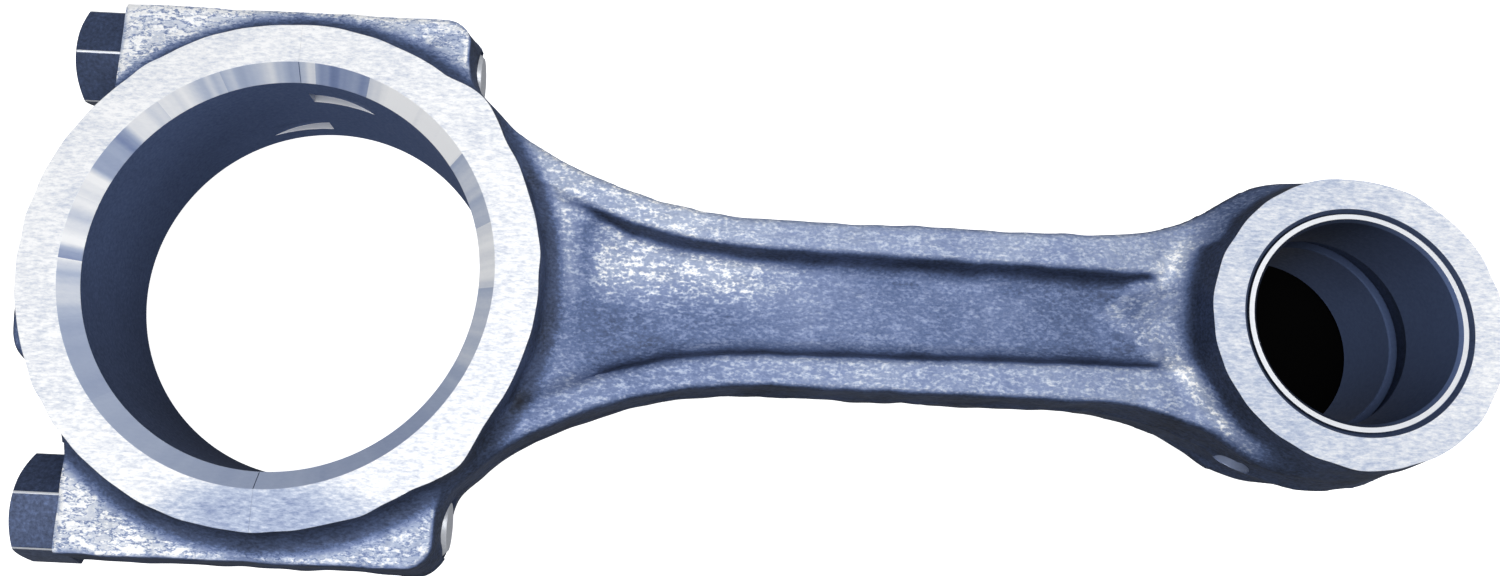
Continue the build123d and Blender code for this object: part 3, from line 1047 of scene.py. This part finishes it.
def bolt_stem():
    """The stem with its waist and a rolled thread over the length that the rod takes."""
    around = 96
    plain_xs = np.arange(SEAT_X - 3, THREAD_X, 0.6)
    thread_xs = np.arange(THREAD_X, BOLT_TIP_X, THREAD_PITCH / 12)
    xs = np.concatenate([plain_xs, thread_xs, [BOLT_TIP_X]])
    waist = rise(xs, WAIST_FROM_X, 1.5) * fall(xs, WAIST_TO_X, 1.5)
    shaft = BOLT_R - WAIST_DEPTH * waist
    tip = TIP_CHAMFER * np.clip((xs - BOLT_TIP_X + TIP_CHAMFER) / TIP_CHAMFER, 0, 1)
    run_in = rise(xs, THREAD_X, 2)
    angles = np.arange(around) * 2 * math.pi / around
    points, rows = [], []
    for x, r, cut, fade in zip(xs, shaft, tip, run_in):
        rows.append(len(points))
        for a in angles:
            wave = abs(((x / THREAD_PITCH - a / (2 * math.pi)) % 1) * 2 - 1)
            groove = THREAD_DEPTH * fade * np.clip(1.15 * (1 - wave) - 0.1, 0, 1)
            radius = min(r - groove, BOLT_R - cut)
            points.append((x, radius * math.cos(a), radius * math.sin(a)))
    faces = []
    for lower, upper in zip(rows, rows[1:]):
        for i in range(around):
            j = (i + 1) % around
            faces.append([lower + i, lower + j, upper + j, upper + i])
    faces.append([rows[0] + i for i in range(around)][::-1])
    faces.append([rows[-1] + i for i in range(around)])
    return mesh_object("stem", points, faces)


def is_tip(polygon):
    """1 on the chamfer and end of a stem and 0 elsewhere."""
    return int(polygon.center.x > (BOLT_TIP_X - TIP_LOOK_LENGTH) * MM)


def bolt_piece(side, turn, looks):
    """One complete cap bolt: head, the thin washer face under it, and stem."""
    head = hexagon_head(turn, looks)
    back_x = SEAT_X - 3 * WASHER_HEIGHT
    profile = [
        (0, back_x),
        (WASHER_R, back_x),
        (WASHER_R, SEAT_X - WASHER_BREAK),
        (WASHER_R - WASHER_BREAK, SEAT_X),
        (0, SEAT_X),
    ]
    combine(head, lathe("washer", profile, axis="X"), "UNION", looks[:1])
    combine(head, bolt_stem(), "UNION", looks, is_tip)
    head.data.transform(head.matrix_world)
    shift = Vector((0, side * BOLT_Y * MM, 0))
    for vertex in head.data.vertices:
        vertex.co += shift
    return head


def bush_piece(side):
    """One bush, its rims broken with small chamfers."""
    inner, outer = BUSH_LOW.z, BUSH_HIGH.z
    profile = [
        (PIN_R + BUSH_BREAK, inner),
        (EYE_BORE_R - BUSH_BREAK, inner),
        (EYE_BORE_R, inner + BUSH_BREAK),
        (EYE_BORE_R, outer - BUSH_BREAK),
        (EYE_BORE_R - BUSH_BREAK, outer),
        (PIN_R + BUSH_MOUTH, outer),
        (PIN_R, outer - BUSH_MOUTH),
        (PIN_R, inner + BUSH_BREAK),
    ]
    if side < 0:
        profile = [(r, -z) for r, z in profile][::-1]
    bush = lathe("bush", profile, (CENTRES, 0, 0))
    for polygon in bush.data.polygons:
        polygon.material_index = int(polygon.normal.z * side < 0.9)
    return bush


def dowel_piece(side):
    """One plain dowel with rounded ends."""
    y = side * (DOWEL_LOW.y + DOWEL_HIGH.y) / 2
    z = side * (DOWEL_LOW.z + DOWEL_HIGH.z) / 2
    low, high = DOWEL_LOW.x, DOWEL_HIGH.x
    profile = [
        (0, low),
        (DOWEL_R - DOWEL_ROUND, low),
        (DOWEL_R - DOWEL_ROUND_STEP, low + DOWEL_ROUND_STEP),
        (DOWEL_R, low + DOWEL_ROUND),
        (DOWEL_R, high - DOWEL_ROUND),
        (DOWEL_R - DOWEL_ROUND_STEP, high - DOWEL_ROUND_STEP),
        (DOWEL_R - DOWEL_ROUND, high),
        (0, high),
    ]
    return lathe("dowel", profile, (0, y, z), "X", 64)


# ------------------------------------------------------------------ build


forged = forged_material()
AROUND = (1.5, 1.5, 1.5)  # the same each way, so that the streaks become specks
LOOKS = {
    "face": ground_material("ground_face", 0.93, 0.25, 0.5, 0.25, adjust=face_changes),
    "seat": ground_material("machined_seat", 0.62),
    "joint": ground_material("joint_face", 0.80),
    "chamfer": ground_material("turned_chamfer", 0.91, 0.03, 0.5, 0.1, specular=0.2, adjust=chamfer_reflections),
    # Painted shade: the big bore here and the pin bore below are the same machined steel as the faces,
    # painted dark for the shade inside the bores.
    "bore": ground_material(
        "bored_wall", 0.28, 0.06, 0.6, 0.1, stretch=AROUND, specular=0.05, adjust=bore_changes
    ),
    "pin_bore": ground_material("pin_bore", 0.26, 0.05, 0.5, 0.2, stretch=AROUND, specular=0.1),
    "ledge": ground_material("notch_ledge", 0.97, 0.03),
    "hole": ground_material("drilled_hole", 0.30, 0.05, stretch=AROUND),
}
blank = forging_mesh()
blank.data.materials.append(forged)
machine_forging(blank, LOOKS)
cap = copy_of(blank, "cap")
rod = machine_half(blank, 1, LOOKS)
cap = machine_half(cap, -1, LOOKS)
paint_forging(rod)
paint_forging(cap)
finish_piece(rod, "rod_forging", "rod", ["rod_body"])
finish_piece(cap, "cap_forging", "cap", ["bearing_cap"])

bolt_look = ground_material("bolt_steel", 0.32, 0.16, 0.42, 0.5, stretch=AROUND)
# Partly wear and partly a painted highlight: the bright strips on the head corners and the bright stem tips.
worn_and_highlight_look = ground_material("worn_edge_and_highlight", 0.90, 0.08)
for side, turn, where in ((1, UPPER_HEAD_TURN, "upper"), (-1, LOWER_HEAD_TURN, "lower")):
    bolt = bolt_piece(side, turn, (bolt_look, worn_and_highlight_look))
    finish_piece(bolt, f"{where}_bolt", f"{where}_bolt", [f"{where}_cap_bolt"], 24)

bush_look = ground_material("bush_metal", 0.92, 0.04)
# Painted shade: the bush bore is painted near black for the shade inside it.
bush_bore_look = ground_material(
    "bush_bore", 0.12, 0.03, 0.5, 0.1, stretch=AROUND, specular=0.06, adjust=bush_changes
)
dowel_look = ground_material("dowel_steel", 0.80)
for side, where in ((1, "front"), (-1, "rear")):
    bush = bush_piece(side)
    bush.data.materials.append(bush_look)
    bush.data.materials.append(bush_bore_look)
    finish_piece(bush, f"{where}_bush_ring", "rod", [f"{where}_bush"])
for side, where in ((1, "upper"), (-1, "lower")):
    pin = dowel_piece(side)
    pin.data.materials.append(dowel_look)
    finish_piece(pin, f"{where}_dowel_pin", "rod", [f"{where}_dowel"])


# ------------------------------------------------------------------ stage, lights and camera


def add_sheet(name, outline, z, color, glow):
    """A flat sheet of the stage. It doesn't light the part or show in it."""
    mesh = bpy.data.meshes.new(name)
    mesh.from_pydata([(x, y, z) for x, y in outline], [], [list(range(len(outline)))])
    sheet = bpy.data.objects.new(name, mesh)
    bpy.context.scene.collection.objects.link(sheet)
    material = bpy.data.materials.new(name)
    material.use_nodes = True
    surface = material.node_tree.nodes["Principled BSDF"]
    surface.inputs["Base Color"].default_value = (color, color, color, 1)
    surface.inputs["Roughness"].default_value = 0.9
    surface.inputs["Specular IOR Level"].default_value = 0.0
    surface.inputs["Emission Color"].default_value = (1, 1, 1, 1)
    surface.inputs["Emission Strength"].default_value = glow
    sheet.data.materials.append(material)
    sheet.visible_glossy = False
    sheet.visible_diffuse = False


def add_floor():
    """A plain pale floor, and a dark pad under the small-end bore: a painted shadow that shows through the
    bore. The small gaps keep them off the part.
    """
    reach = 3.0
    level = -HALF * MM
    square = [(-reach, -reach), (reach, -reach), (reach, reach), (-reach, reach)]
    add_sheet("floor", square, level - 0.0003, color=0.85, glow=0.9)
    shadow_pad_r = (PIN_R + 3) * MM
    turns = [2 * math.pi * i / 64 for i in range(64)]
    pad = [(CENTRES * MM + shadow_pad_r * math.cos(a), shadow_pad_r * math.sin(a)) for a in turns]
    # Painted shadow: a near-black sheet where the floor shows through the small-end bore.
    add_sheet("pad", pad, level - 0.0001, color=0.003, glow=0.0)


def add_area(name, place, target, size, power):
    """A round soft light at a place, turned to a target."""
    light = bpy.data.lights.new(name, "AREA")
    light.shape = "DISK"
    light.size = size
    light.energy = power
    obj = bpy.data.objects.new(name, light)
    obj.location = place
    obj.rotation_euler = (Vector(target) - Vector(place)).to_track_quat("-Z", "Y").to_euler()
    bpy.context.scene.collection.objects.link(obj)


def add_world():
    """Weak, slightly cool light from all round."""
    world = bpy.data.worlds.new("studio")
    world.use_nodes = True
    background = world.node_tree.nodes["Background"]
    background.inputs["Color"].default_value = (0.92, 0.95, 1.0, 1)
    background.inputs["Strength"].default_value = 0.2
    bpy.context.scene.world = world


def add_camera():
    """Nearly square on to the front face, from about 0.23 m."""
    camera = bpy.data.objects.new("camera", bpy.data.cameras.new("camera"))
    bpy.context.scene.collection.objects.link(camera)
    camera.location = (0.0599, -0.0395, 0.2313)
    camera.rotation_euler = Euler((math.radians(11.7052), math.radians(-1.2007), math.radians(2.6477)))
    camera.data.sensor_width = 36.0
    camera.data.lens = 30.56
    camera.data.shift_x = 0.0699
    camera.data.shift_y = -0.0196
    camera.data.clip_start = 0.01
    camera.data.clip_end = 20.0
    bpy.context.scene.camera = camera


add_floor()
add_world()
add_area("key", (-0.12, -0.3, 1.1), (0.05, 0, 0), size=1.2, power=9.2)
add_area("side", (1.1, 0.15, 0.4), (0, 0, 0), size=0.5, power=3.6)
add_area("fill", (0.3, 0.35, 1.1), (0.08, 0, 0), size=0.9, power=3.2)
add_camera()
bpy.context.scene.view_settings.view_transform = "Standard"
